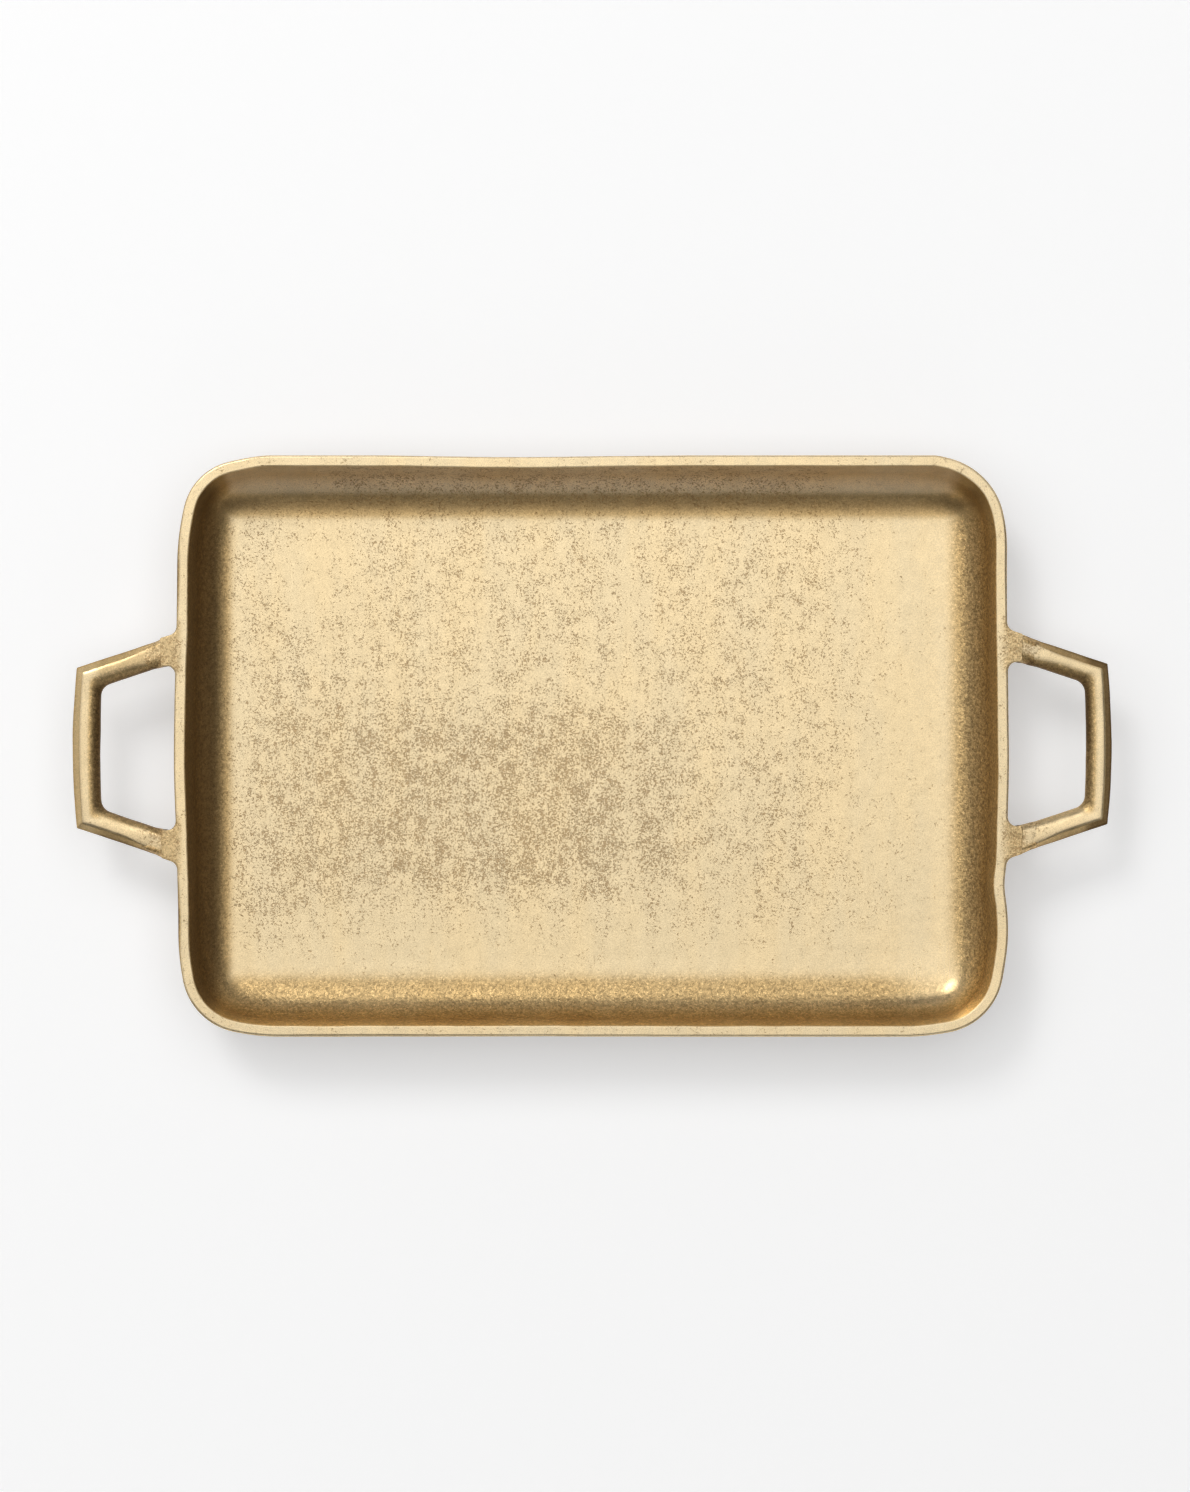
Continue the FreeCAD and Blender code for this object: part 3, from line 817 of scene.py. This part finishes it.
# Stations along a joint's collar, in mm: how far out from the joint plane, and how far it stands off the arm
COLLAR = [(-2.4, 0.15), (-1.5, 0.36), (-0.7, 0.46), (0.2, 0.46), (1.1, 0.40), (2.1, 0.32)]
COLLAR += [(3.2, 0.24), (4.4, 0.15), (5.6, 0.05), (6.8, -0.08), (8.2, -0.30)]


def collar_ring(x):
    """The arm's section at x with twice its points, and the directions that lead straight out of it."""
    section = BAR_SECTION + (ROOT_SECTION - BAR_SECTION) * root_share(x)
    ring = np.repeat(section, 2, axis=0)
    ring[1::2] = (section + np.roll(section, -1, axis=0)) / 2
    return ring, inward_normals(ring)


def collar_point(x, inset, height):
    """The place of a point of the +X rear arm's collar."""
    return Vector((x, arm_edge_y(x, 1) - inset / math.cos(ARM_ANGLE), BAR_MIDDLE + height))


def make_braze(name, side, end, shift, seed, material):
    """A dressed bead that runs round the arm and fills the step between the lug and the arm."""
    core = [(COLLAR[-1][0], -0.6), (COLLAR[0][0], -0.6)]  # the bead's inner face, hidden in the arm
    stretch = "rear_arm" if end > 0 else "front_arm"
    vertices = []
    patina_and_shade = []
    for station, (out, off) in enumerate(COLLAR + core):
        x = JOINT_PLANE + out * MM
        ring, away = collar_ring(x)
        for point, direction in zip(ring, away):
            inset, height = point + direction * off * MM
            place = collar_point(x, inset, height)
            if station < len(COLLAR):
                near = Vector((x, arm_edge_y(x, 1) - inset, place.z))
                lump = 0.14 * hand_noise(*near, 3.0 * MM, seed)
                lump += 0.14 * hand_noise(*near, 7 * MM, seed + 2)
                place = collar_point(x, *(point + direction * (off + lump) * MM))
                place.z = min(place.z, RIM_TOP - 0.03 * MM + 0.02 * MM * lump)
                ragged = hand_noise(0, near.y, place.z, 4.5 * MM, seed + 4)
                place.x += max(out, 0) * 0.35 * MM * ragged
            vertices.append((place.x * side, place.y * end + shift, place.z))
        across = across_patina_and_shade(side, stretch, ring[:, 0], ring[:, 1])
        patina_and_shade.append(0.22 + (across - 0.22) * smooth((out + 2) / 6))
    numbers = ring_numbers(len(patina_and_shade), len(patina_and_shade[0]))
    faces = grid_faces(np.vstack([numbers, numbers[0]]), side * end > 0)
    zones = {"patina_and_shade": np.concatenate(patina_and_shade), "pitting": np.full(len(vertices), 0.76)}
    bead = make_piece(name + "_bead", vertices, faces, material, zones)
    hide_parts(name)


# ---------------- the feet

FOOT_EDGE = 0.45 * MM  # radius of its soft edges
FOOT_SIDES = 72


def make_foot(name, seed, material):
    """A felt disc with soft, slightly uneven edges."""
    low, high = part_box(name)
    middle = (low + high) / 2
    radius = (high.x - low.x) / 2
    thickness = high.z - low.z
    profile = [(share * (radius - FOOT_EDGE), 0) for share in (0.25, 0.5, 0.75, 0.92)]
    for angle in np.linspace(0, math.pi / 2, 5):
        reach = radius - FOOT_EDGE * (1 - math.sin(angle))
        profile.append((reach, FOOT_EDGE * (1 - math.cos(angle))))
    half = profile + [(radius - 0.03 * MM, thickness / 2)]
    profile = half + [(r, thickness - z) for r, z in profile[::-1]]
    vertices = []
    for r, z in profile:
        for angle in np.arange(FOOT_SIDES) * 2 * math.pi / FOOT_SIDES:
            x, y = math.cos(angle), math.sin(angle)
            fluff = 0.16 * MM * (hand_noise(x, y, z * 200, 0.22, seed) - 0.6) * (r / radius) ** 6
            vertices.append((middle.x + (r + fluff) * x, middle.y + (r + fluff) * y, low.z + z))
    numbers = ring_numbers(len(profile), FOOT_SIDES)
    faces = [tuple(f) for f in grid_faces(numbers, True)]
    for ring, z, turn in ((numbers[0], 0, 1), (numbers[-1], thickness, -1)):
        centre = len(vertices)
        vertices.append((middle.x, middle.y, low.z + z))
        faces += [(centre, b, a)[::turn] for a, b in zip(ring, ring[1:])]
    foot = make_piece(name + "_felt", vertices, faces, material)
    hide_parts(name)


# ---------------- materials


class Graph:
    """A material's nodes, with short ways to add the ones used here."""

    def __init__(self, name):
        self.material = bpy.data.materials.new(name)
        self.material.use_nodes = True
        self.tree = self.material.node_tree
        self.tree.nodes.clear()
        self.shader = self.node("BsdfPrincipled")
        self.tree.links.new(self.shader.outputs[0], self.node("OutputMaterial").inputs[0])
        self.place = self.node("TexCoord").outputs["Object"]

    def node(self, kind):
        return self.tree.nodes.new("ShaderNode" + kind)

    def set(self, socket, value):
        """Links a socket to another node's output, or gives it a plain value."""
        if isinstance(value, bpy.types.NodeSocket):
            self.tree.links.new(value, socket)
        else:
            socket.default_value = value

    def math(self, operation, a, b=0.0, clamp=False):
        node = self.node("Math")
        node.operation = operation
        node.use_clamp = clamp
        self.set(node.inputs[0], a)
        self.set(node.inputs[1], b)
        return node.outputs[0]

    def zone(self, name):
        """A value that the piece's vertices carry, or 0 where they carry none."""
        node = self.node("Attribute")
        node.attribute_name = name
        return node.outputs["Fac"]

    def noise(self, size, detail=2.0, roughness=0.5, distortion=0.0, stretch=(1, 1, 1), shift=(0, 0, 0)):
        """A noise with features of about that size, longer along an axis whose stretch is over 1."""
        mapping = self.node("Mapping")
        self.set(mapping.inputs["Vector"], self.place)
        mapping.inputs["Location"].default_value = shift
        mapping.inputs["Scale"].default_value = tuple(1 / s for s in stretch)
        node = self.node("TexNoise")
        self.set(node.inputs["Vector"], mapping.outputs[0])
        node.inputs["Scale"].default_value = 1 / size
        node.inputs["Detail"].default_value = detail
        node.inputs["Roughness"].default_value = roughness
        node.inputs["Distortion"].default_value = distortion
        return node.outputs["Fac"]

    def range(self, value, low, high, to_low=0.0, to_high=1.0):
        """Carries a value from low..high to to_low..to_high, with an S-curve and flat ends."""
        node = self.node("MapRange")
        node.interpolation_type = "SMOOTHSTEP"
        for socket, number in zip(node.inputs, (value, low, high, to_low, to_high)):
            self.set(socket, number)
        return node.outputs[0]

    def mix(self, share, a, b, blend="MIX"):
        node = self.node("Mix")
        node.data_type = "RGBA"
        node.blend_type = blend
        self.set(node.inputs["Factor"], share)
        for socket, value in ((node.inputs[6], a), (node.inputs[7], b)):
            self.set(socket, (*value, 1) if isinstance(value, tuple) else value)
        return node.outputs[2]

    def shade(self, colour, amount):
        """Multiplies a colour by an amount."""
        node = self.node("VectorMath")
        node.operation = "SCALE"
        self.set(node.inputs[0], colour)
        self.set(node.inputs["Scale"], amount)
        return node.outputs[0]

    def bump(self, height, distance, strength=1.0, normal=None):
        node = self.node("Bump")
        node.inputs["Distance"].default_value = distance
        self.set(node.inputs["Strength"], strength)
        self.set(node.inputs["Height"], height)
        if normal is not None:
            self.set(node.inputs["Normal"], normal)
        return node.outputs[0]

    def finish(self, colour, roughness, normal):
        """Connects the shader and returns the material."""
        self.set(self.shader.inputs["Base Color"], colour)
        self.set(self.shader.inputs["Roughness"], roughness)
        self.set(self.shader.inputs["Normal"], normal)
        return self.material


POLISHED = (0.875, 0.705, 0.435)
FILLER = (0.88, 0.72, 0.46)
GOLDEN = (0.62, 0.44, 0.21)
# Dark patina in the hollows, also the colour of the painted shade on the inner walls and the handles
DARK_PATINA_AND_SHADE = (0.16, 0.095, 0.035)
# Unpolished brass, paler: painted light on the top wall's upper part
RAW_AND_PAINTED_LIGHT = (0.97, 0.82, 0.60)  # unpolished, as it came from the sand
PIT = (0.35, 0.20, 0.08)
MARK_SIZE = 0.95 * MM  # of a single pit


def brass_pits(g):
    """Where a fine, twisted noise is higher than the zone and three coarser noises ask for."""
    mark = g.noise(MARK_SIZE, 2.0, 0.55, 0.9)
    cluster = g.noise(MARK_SIZE * 8, 3.0, 0.6, 0.4, shift=(0.3, 0.1, 0.2))
    scatter = g.noise(MARK_SIZE * 2.6, 2.0, 0.5, 0.0, (1, 2.2, 1), (0.1, 0.5, 0.3))
    streaks = g.noise(13 * MM, 2.0, 0.5, 0.0, (0.5, 7, 1), (0.4, 0.0, 0.2))
    need = g.range(g.zone("pitting"), 0.0, 1.0, 0.735, 0.515)
    for noise_value, share in ((streaks, 0.018), (cluster, 0.055), (scatter, 0.04)):
        need = g.math("SUBTRACT", need, g.range(noise_value, 0.3, 0.7, -share, share))
    return g.range(g.math("SUBTRACT", mark, need), 0.0, 0.045)


def cast_brass(name, polished):
    """Sand-cast brass, wheel-polished on its high places, with wormy pits and dark patina in the hollows.
    The patina zone also carries painted shade, and the polish zone painted highlight and painted light.
    """
    g = Graph(name)
    patina_and_shade = g.zone("patina_and_shade")
    polish_and_painted_light = g.zone("polish_and_painted_light")
    pits = brass_pits(g)

    # Grain: fine everywhere, and coarser and embossed where the surface was left as cast
    fine = g.noise(0.55 * MM, 2.0, 0.6)
    coarse = g.noise(1.5 * MM, 3.0, 0.65, 0.5)
    fleck = g.noise(0.9 * MM, 1.0, 0.5, 0.6, shift=(0.7, 0.2, 0.4))
    cloud = g.noise(34 * MM, 3.0, 0.55, 0.0, (0.7, 2.6, 1))
    blotch = g.noise(7 * MM, 4.0, 0.65)
    brushed = g.noise(5 * MM, 2.0, 0.5, 0.0, (0.6, 16, 1))

    # Paler where painted light is asked for, then golden and dark where patina and painted shade are asked
    # for
    raw_and_painted_light = g.math("MULTIPLY", polish_and_painted_light, -0.45, True)
    colour = g.mix(raw_and_painted_light, polished, RAW_AND_PAINTED_LIGHT)
    colour = g.mix(g.range(patina_and_shade, 0.0, 0.4), colour, GOLDEN)
    colour = g.mix(g.range(patina_and_shade, 0.3, 1.0), colour, DARK_PATINA_AND_SHADE)
    warm = g.mix(g.range(cloud, 0.35, 0.65), (0.99, 0.965, 0.92), (1.0, 1.0, 1.0))
    colour = g.mix(1.0, colour, warm, "MULTIPLY")
    colour = g.mix(g.math("MULTIPLY", pits, g.range(patina_and_shade, 0.0, 0.6, 0.58, 0.45)), colour, PIT)
    tone = g.range(blotch, 0.3, 0.7, 0.95, 1.03)
    for grain, low, high in ((brushed, 0.97, 1.02), (fine, 0.85, 1.08)):
        tone = g.math("MULTIPLY", tone, g.range(grain, 0.3, 0.7, low, high))
    speckle = g.math("ADD", g.range(coarse, 0.34, 0.66, 0.62, 1.3), g.range(fleck, 0.58, 0.70, 0.0, 0.6))
    grainy = g.math("MULTIPLY", g.range(patina_and_shade, 0.0, 0.5), g.range(g.zone("calm"), 0.0, 1.0, 1.0, 0.3))
    tone = g.math("MULTIPLY", tone, g.mix(grainy, (1.0, 1.0, 1.0), speckle))
    colour = g.shade(colour, tone)

    rough = g.range(patina_and_shade, 0.0, 1.0, 0.38, 0.60)
    for grain in (brushed, cloud):
        rough = g.math("ADD", rough, g.range(grain, 0.3, 0.7, -0.03, 0.03))
    rough = g.math("ADD", rough, g.range(polish_and_painted_light, -2.0, 1.0, 0.18, -0.10))
    rough = g.math("ADD", rough, g.math("MULTIPLY", pits, 0.1), True)

    relief = g.math("MULTIPLY", coarse, g.math("MAXIMUM", grainy, 0.1))
    normal = g.bump(relief, 0.32 * MM, 0.8)
    normal = g.bump(fine, 0.08 * MM, 0.6, normal)
    normal = g.bump(g.math("MULTIPLY", pits, -1.0), 0.10 * MM, 0.6, normal)
    g.shader.inputs["Metallic"].default_value = 1
    return g.finish(colour, rough, normal)


def felt():
    """Dense wool felt: matted fibres, a little uneven in colour."""
    g = Graph("wool_felt")
    fibre = g.noise(0.5 * MM, 4.0, 0.7, 2.5, (1, 3, 1))
    across = g.noise(0.5 * MM, 4.0, 0.7, 2.5, (3, 1, 1), (0.2, 0.4, 0.1))
    mat = g.math("MAXIMUM", fibre, across)
    cloud = g.noise(6 * MM, 3.0, 0.6)
    colour = g.mix(g.range(mat, 0.4, 0.7), (0.030, 0.022, 0.016), (0.10, 0.076, 0.056))
    colour = g.shade(colour, g.range(cloud, 0.3, 0.7, 0.85, 1.12))
    g.shader.inputs["Sheen Weight"].default_value = 0.35
    g.shader.inputs["Sheen Roughness"].default_value = 0.5
    rough = g.range(mat, 0.3, 0.7, 0.98, 0.88)
    return g.finish(colour, rough, g.bump(mat, 0.25 * MM, 0.8))


def adhesive():
    """A clear adhesive film, ambered, with small bubbles."""
    g = Graph("dried_adhesive")
    bubble = g.noise(0.8 * MM, 2.0, 0.5)
    cloud = g.noise(5 * MM, 2.0, 0.5)
    colour = g.mix(g.range(cloud, 0.35, 0.65), (0.34, 0.24, 0.11), (0.48, 0.37, 0.20))
    colour = g.shade(colour, g.range(bubble, 0.35, 0.6, 0.8, 1.05))
    rough = g.range(bubble, 0.35, 0.65, 0.28, 0.5)
    return g.finish(colour, rough, g.bump(bubble, 0.08 * MM, 0.5))


# ---------------- stage, light and camera


STAGE_RINGS = [(40.0, 0.0), (43.0, 1.0), (44.0, 8.0)]  # radius and height: a round floor, turned up far away
STAGE_SIDES = 48
STAGE_GLOW = (1.5, 7.0, 0.35, 0.74)  # the floor glows more far from the tray: distances, and glow at each


def stage_paper():
    """Matt pale paper, with a glow of its own that evens out the light on it."""
    paper = Graph("stage_paper")
    paper.shader.inputs["Base Color"].default_value = (0.84, 0.84, 0.84, 1)
    paper.shader.inputs["Roughness"].default_value = 0.9
    paper.shader.inputs["Specular IOR Level"].default_value = 0.1
    paper.shader.inputs["Emission Color"].default_value = (1, 1, 1, 1)
    away = paper.node("VectorMath")
    away.operation = "LENGTH"
    paper.set(away.inputs[0], paper.place)
    paper.set(paper.shader.inputs["Emission Strength"], paper.range(away.outputs["Value"], *STAGE_GLOW))
    return paper.material


def make_stage():
    """The floor that the tray stands on."""
    angles = np.arange(STAGE_SIDES) * 2 * math.pi / STAGE_SIDES
    corners = [(r * math.cos(a), r * math.sin(a), height) for r, height in STAGE_RINGS for a in angles]
    numbers = ring_numbers(len(STAGE_RINGS), STAGE_SIDES)
    faces = [tuple(int(i) for i in face) for face in grid_faces(numbers, False)]
    mesh = bpy.data.meshes.new("stage_floor")
    mesh.from_pydata(corners, [], [tuple(range(STAGE_SIDES))] + faces)
    mesh.materials.append(stage_paper())
    floor = bpy.data.objects.new("stage_floor", mesh)
    bpy.context.scene.collection.objects.link(floor)


def area_light(name, place, target, width, height, radiance):
    """A rectangular light whose surface has that brightness."""
    data = bpy.data.lights.new(name, "AREA")
    data.shape = "RECTANGLE"
    data.size = width
    data.size_y = height
    data.energy = radiance * math.pi * width * height
    light = bpy.data.objects.new(name, data)
    light.location = place
    light.rotation_euler = (Vector(target) - Vector(place)).to_track_quat("-Z", "Y").to_euler()
    light.visible_camera = False
    bpy.context.scene.collection.objects.link(light)


# Each light's place, what it faces, its width and height, and its brightness
LIGHTS = {
    "overhead_panel": ((-1.36, 1.7, 4.2), (-1.36, 1.7, 0), 8.4, 6.5, 1.0),
    "panel_core": ((0.12, 0.68, 4.15), (0, 0, 0), 0.75, 0.55, 1.2),
    "front_fill": ((0.4, -3.2, 1.7), (0, 0, 0), 1.6, 1.0, 0.7),
    "left_card": ((-3.2, 1.2, 1.05), (0, 0.9, 0), 5.0, 1.1, 0.38),
    "key_softbox": ((-2.0, 3.3, 4.1), (0, 0, 0), 1.7, 1.7, 7.0),
}


def make_world():
    """A dim, even surround."""
    world = bpy.data.worlds.new("studio")
    world.use_nodes = True
    background = world.node_tree.nodes["Background"]
    background.inputs["Color"].default_value = (1, 1, 1, 1)
    background.inputs["Strength"].default_value = 0.08
    bpy.context.scene.world = world


CAMERA_X = 0.0014  # the tray lies a little left of the frame's middle
CAMERA_HEIGHT = 1.7  # above the rim
VIEW_HEIGHT = 0.7277  # what the frame shows at the rim's level, from edge to edge
CAMERA_SENSOR = 36.0


def make_camera():
    """Looks straight down."""
    data = bpy.data.cameras.new("camera")
    data.sensor_width = CAMERA_SENSOR
    data.lens = CAMERA_SENSOR * CAMERA_HEIGHT / VIEW_HEIGHT
    camera = bpy.data.objects.new("camera", data)
    camera.location = (CAMERA_X, 0, RIM_TOP + CAMERA_HEIGHT)
    bpy.context.scene.collection.objects.link(camera)
    bpy.context.scene.camera = camera


make_stage()
for name, settings in LIGHTS.items():
    area_light(name, *settings)
make_world()
make_camera()
bpy.context.scene.view_settings.view_transform = "Standard"

brass = cast_brass("cast_brass", POLISHED)
braze = cast_brass("braze_brass", FILLER)
wool = felt()
film = adhesive()
make_pan(brass)
for name, side in (("left", -1), ("right", 1)):
    shift = side * HANDLE_SHIFT
    make_handle(name + "_handle", side, shift, 11 + side, brass)
    make_braze(name + "_rear_braze", side, 1, shift, 21 + side, braze)
    make_braze(name + "_front_braze", side, -1, shift, 31 + side, braze)
for place in ("front", "rear"):
    for side in ("left", "right"):
        make_foot(f"{place}_{side}_foot", 40 + len(place + side), wool)
        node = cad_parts[f"{place}_{side}_foot_adhesive"]
        node.data.materials.clear()
        node.data.materials.append(film)
